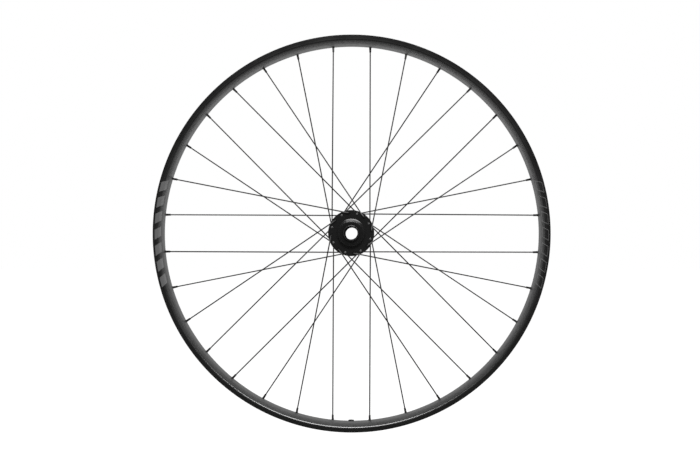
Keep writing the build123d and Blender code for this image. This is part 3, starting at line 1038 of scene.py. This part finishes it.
class WHEEL_OT_hub_shell(Operator):
    """Turns the hub shell, adds the disc mount's lobes and drills every hole"""

    bl_idname = "wheel.hub_shell"
    bl_label = "Hub Shell"

    def execute(self, context):
        wheel = context.scene.wheel
        hub = wheel.hub
        shell = self.turn(hub)
        bolts = mounts["rotor_bolts"]["dims"]
        mount_middle = shell_end[LEFT] - hub.mount_depth / 2
        angles = [360.0 / bolts["count"] * number for number in range(bolts["count"])]
        places = [placement(polar(bolts["pcd_mm"] / 2 * MM, angle, mount_middle), AXLE) for angle in angles]
        lobes = copies(self.lobe(hub), "disc_lobes", places)
        wall_middle = (hub.pocket + hub.boss) / 4
        pocket_drill = rod("pocket_drill", wall_middle, 2 * hub.mount_depth, HUB_STEPS)
        cut(lobes, copies(pocket_drill, "pocket_drills", [Matrix.Translation(AXLE * mount_middle)]))
        weld(shell, lobes)
        bolt_drill = rod("bolt_drill", bolts["hole_r_mm"] * MM, hub.mount_depth + 2 * SPARE)
        cut(shell, copies(bolt_drill, "bolt_drills", places))
        holes = [placement(spoke.hole, AXLE) for spoke in spokes_of(wheel)]
        cut(shell, copies(self.spoke_drill(hub), "spoke_drills", holes))
        finish = turned_finish("satin_black_shell", wheel.finish.hub, rings=4.0, gloss=1.6, roughness=0.23)
        finish_piece(shell, "wheel", "hub_anodised", finish, "hub_shell")
        return {"FINISHED"}

    @staticmethod
    def turn(hub):
        """The shell from its right end to the disc face, with both bearing pockets."""
        right, left = -shell_end[RIGHT], shell_end[LEFT]
        right_middle, left_middle = right + hub.right_flange_inset, left - hub.left_flange_inset
        right_out, right_in = right_middle - hub.flange / 2, right_middle + hub.flange / 2
        left_in, left_out = left_middle - hub.flange / 2, left_middle + hub.flange / 2
        right_edge = hub.right_circle / 2 + hub.flange_margin
        left_edge = hub.left_circle / 2 + hub.flange_margin
        boss, neck, bore, pocket = hub.boss / 2, hub.neck / 2, hub.bore / 2, hub.pocket / 2
        bevel, edge = boss - hub.edge_width, right + hub.edge_drop
        ledge, foot = boss + hub.foot_ledge, right_out - hub.foot_rise
        foot_end = ledge + hub.foot_width
        outline = Outline("hub_body", (pocket, right))
        outline.line((bevel, right), (boss, edge), (boss, foot), (ledge, foot), (foot_end, right_out))
        outline.line((right_edge, right_out), (right_edge, right_in), (neck, right_in))
        outline.arc((neck, left_in), (hub.neck - hub.waist) / 2, 2 * ARC_STEPS)
        outline.line((left_edge, left_in), (left_edge, left_out), (boss, left_out), (boss, left))
        outline.line((pocket, left), (pocket, left - hub.pocket_depth), (bore, left - hub.pocket_depth))
        outline.line((bore, right + hub.pocket_depth), (pocket, right + hub.pocket_depth))
        outline.close()
        outline.round(hub.bevel_round, (bevel, right), (boss, edge), (ledge, foot), (foot_end, right_out))
        outline.round(hub.boss_root, (boss, left_out))
        outline.round(hub.neck_root, (neck, right_in), (neck, left_in))
        outline.round(hub.flange_round, (right_edge, right_out), (right_edge, right_in))
        outline.round(hub.flange_round, (left_edge, left_in), (left_edge, left_out), (boss, left))
        return outline.turn(HUB_STEPS)

    @staticmethod
    def lobe(hub):
        """One lobe of the disc mount, about the origin."""
        reach, half = hub.lobe / 2, hub.mount_depth / 2
        outline = Outline("disc_lobe", (0, -half))
        outline.line((reach, -half), (reach, half), (0, half))
        outline.round(hub.lobe_round, (reach, -half), (reach, half))
        return outline.turn(BUSH_STEPS)

    @staticmethod
    def spoke_drill(hub):
        """A drill with a countersink at both faces of the flange."""
        radius, half, sink = hub.spoke_hole / 2, hub.flange / 2, hub.hole_chamfer
        outline = Outline("spoke_drill", (0, -half - sink))
        outline.line((radius + 2 * sink, -half - sink), (radius, -half + sink), (radius, half - sink))
        outline.line((radius + 2 * sink, half + sink), (0, half + sink))
        return outline.turn(SMALL_STEPS)


class WHEEL_OT_end_caps(Operator):
    """Turns the two end caps that carry the fork ends"""

    bl_idname = "wheel.end_caps"
    bl_label = "End Caps"

    def execute(self, context):
        wheel = context.scene.wheel
        finish = turned_finish("satin_black_cap", wheel.finish.cap, rings=5.0, gloss=1.65, roughness=0.25)
        # Painted shade for the inside of the caps' bore
        bore = bore_shade_finish(wheel.finish.cap)
        for side, name in SIDES.items():
            cap = self.turn(wheel, side, f"{name}_cap")
            finish_piece(cap, "axle", "cap_anodised", finish, f"{name}_end_cap")
            line_bore(cap, bore)
        return {"FINISHED"}

    @staticmethod
    def turn(wheel, side, name):
        """A spigot inside the bearing, a shield over it and a nose for the fork."""
        axle = wheel.axle
        bore = mounts["axle_bore"]["dims"]["r_mm"] * MM
        spigot, land, shield, nose = (
            diameter / 2 for diameter in (axle.cap_spigot, axle.cap_land, axle.cap_shield, axle.cap_nose)
        )
        inner, face, fork = side * sleeve_end[side], side * shell_end[side], side * fork_face[side]
        shield_back = face - side * axle.shield_depth
        bearing = shield_back - side * axle.shield_gap
        bevel, shield_edge = shield - axle.shield_bevel, face - side * axle.shield_drop
        outline = Outline(name, (bore, inner))
        outline.line((spigot, inner), (spigot, bearing), (land, bearing), (land, shield_back))
        outline.line((shield, shield_back), (shield, shield_edge), (bevel, face))
        outline.line((nose, face), (nose, fork), (bore, fork))
        outline.close()
        outline.round(axle.nose_round, (nose, fork))
        outline.round(axle.bore_round, (bore, fork), (nose, face))
        outline.round(axle.shield_drop / 2, (shield, shield_edge), (bevel, face))
        return outline.turn(HUB_STEPS)


class WHEEL_OT_axle_sleeve(Operator):
    """Turns the sleeve that keeps the bearings apart"""

    bl_idname = "wheel.axle_sleeve"
    bl_label = "Axle Sleeve"

    def execute(self, context):
        wheel = context.scene.wheel
        bore = mounts["axle_bore"]["dims"]["r_mm"] * MM
        outside, low, high = sleeve_high.x, sleeve_low.y, sleeve_high.y
        outline = Outline("axle_tube", (bore, low))
        outline.line((outside, low), (outside, high), (bore, high))
        outline.close()
        outline.round(wheel.axle.sleeve_round, (outside, low), (outside, high))
        finish = metal_finish("turned_alloy", wheel.finish.alloy, roughness=0.5)
        tube = outline.turn(HUB_STEPS)
        finish_piece(tube, "axle", "axle_alloy", finish, "axle_sleeve")
        # Painted shade: the sleeve's bore gets the caps' black instead of its bare alloy
        line_bore(tube, bore_shade_finish(wheel.finish.cap))
        return {"FINISHED"}


class WHEEL_OT_bearings(Operator):
    """Gives the bearings' rings and seals their finish"""

    bl_idname = "wheel.bearings"
    bl_label = "Bearings"

    def execute(self, context):
        wheel = context.scene.wheel
        steel = metal_finish("ground_steel", wheel.finish.steel, roughness=0.22)
        rubber = rubber_finish("seal_rubber", wheel.finish.rubber)
        for name in SIDES.values():
            for part, finish in (("outer_ring", steel), ("inner_ring", steel), ("seals", rubber)):
                node = frame["nodes"][f"{name}_bearing_{part}"]
                node.data.materials.clear()
                node.data.materials.append(finish)
        return {"FINISHED"}


class WHEEL_OT_stage(Operator):
    """Sets up the white room, its light, the floor and the camera"""

    bl_idname = "wheel.stage"
    bl_label = "Stage"

    def execute(self, context):
        stage = context.scene.wheel.stage
        context.scene.view_settings.view_transform = "Standard"
        self.paint_room(context.scene, stage)
        self.lay_floor(stage)
        self.hang_softbox(stage)
        self.place_camera(context.scene, stage)
        return {"FINISHED"}

    @staticmethod
    def paint_room(scene, stage):
        """White to the camera, and white with a darker end behind the camera in reflections."""
        scene.world = bpy.data.worlds.new("white_room")
        scene.world.use_nodes = True
        room = Nodes(scene.world.node_tree)
        rays = room.add("ShaderNodeLightPath").outputs
        along = room.split(room.add("ShaderNodeTexCoord").outputs["Generated"])["Y"]
        fade = room.between(along, stage.front_shade, 1.0, *ROOM_FADE, interpolation_type="SMOOTHSTEP")
        mirrored = room.mix(rays["Is Glossy Ray"], stage.room_light, fade, "FLOAT")
        seen = room.math("MAXIMUM", rays["Is Camera Ray"], rays["Is Transmission Ray"])
        background = room.tree.nodes["Background"]
        room.feed(background.inputs["Color"], WHITE)
        room.feed(background.inputs["Strength"], room.mix(seen, mirrored, 1.0, "FLOAT"))

    @staticmethod
    def lay_floor(stage):
        """A pale floor under the wheel, which keeps its shadow and reads as white."""
        place = (0, stage.floor_size / 2 - stage.floor_front, cad_box[0].z - stage.floor_drop)
        floor = start_with(bpy.ops.mesh.primitive_plane_add, "floor", size=stage.floor_size, location=place)
        finish = Finish("white_floor")
        finish.set("Base Color", rgba(stage.floor))
        finish.set("Roughness", 0.9)
        finish.set("Specular IOR Level", 0.0)
        rays = finish.add("ShaderNodeLightPath").outputs
        mirrored = finish.math("MAXIMUM", rays["Is Glossy Ray"], rays["Is Transmission Ray"])
        seen = finish.math("MAXIMUM", rays["Is Camera Ray"], mirrored)
        finish.set("Emission Color", WHITE)
        finish.set("Emission Strength", finish.math("MULTIPLY", seen, stage.floor_glow))
        floor.data.materials.append(finish.material)

    @staticmethod
    def aim_from(place):
        """Turns a lamp or camera at a place towards the wheel's middle."""
        return (-place).to_track_quat("-Z", "Y").to_euler()

    def hang_softbox(self, stage):
        """One wide softbox above the camera."""
        place = stage.softbox_place
        bpy.ops.object.light_add(type="AREA", location=place, rotation=self.aim_from(place))
        light = bpy.context.object.data
        light.name = "softbox"
        light.shape = "RECTANGLE"
        light.energy = stage.softbox_power
        light.size = stage.softbox_width
        light.size_y = stage.softbox_height

    def place_camera(self, scene, stage):
        """Nearly on the axle's line, and aimed at the wheel's middle."""
        place = Vector((stage.camera_side, -stage.camera_distance, -stage.camera_drop))
        aim = self.aim_from(place)
        aim.rotate_axis("Z", stage.camera_roll)
        bpy.ops.object.camera_add(location=place, rotation=aim)
        camera = bpy.context.object
        camera.data.lens = stage.lens
        camera.data.sensor_width = SENSOR_WIDTH
        camera.data.shift_x, camera.data.shift_y = stage.shift
        scene.camera = camera


class WHEEL_PT_sidebar(Panel):
    """Lists the wheel's pieces and the sizes that go with them"""

    bl_idname = "WHEEL_PT_sidebar"
    bl_label = "Front Wheel"
    bl_space_type = "VIEW_3D"
    bl_region_type = "UI"
    bl_category = "Wheel"

    def draw(self, context):
        wheel = context.scene.wheel
        for operator in PIECES:
            self.layout.operator(operator.bl_idname)
        for group in wheel.bl_rna.properties.keys():
            settings = getattr(wheel, group)
            if isinstance(settings, PropertyGroup):
                box = self.layout.box()
                box.label(text=group.title())
                for name in settings.__annotations__:
                    box.prop(settings, name)


SETTINGS = (
    RimSettings,
    SpokeSettings,
    NippleSettings,
    HubSettings,
    AxleSettings,
    BushSettings,
    BarSettings,
    FinishSettings,
    StageSettings,
    WheelSettings,
)
PIECES = (
    WHEEL_OT_rim,
    WHEEL_OT_valve_bush,
    WHEEL_OT_spokes,
    WHEEL_OT_nipples,
    WHEEL_OT_hub_shell,
    WHEEL_OT_end_caps,
    WHEEL_OT_axle_sleeve,
    WHEEL_OT_bearings,
    WHEEL_OT_stage,
)
CLASSES = (*SETTINGS, *PIECES, WHEEL_PT_sidebar)


def register():
    for cls in CLASSES:
        bpy.utils.register_class(cls)
    bpy.types.Scene.wheel = PointerProperty(type=WheelSettings)


def unregister():
    del bpy.types.Scene.wheel
    for cls in reversed(CLASSES):
        bpy.utils.unregister_class(cls)


def main():
    """Makes every piece and the stage."""
    register()
    bpy.ops.wheel.rim()
    bpy.ops.wheel.valve_bush()
    bpy.ops.wheel.spokes()
    bpy.ops.wheel.nipples()
    bpy.ops.wheel.hub_shell()
    bpy.ops.wheel.end_caps()
    bpy.ops.wheel.axle_sleeve()
    bpy.ops.wheel.bearings()
    bpy.ops.wheel.stage()


if __name__ == "__main__":
    main()
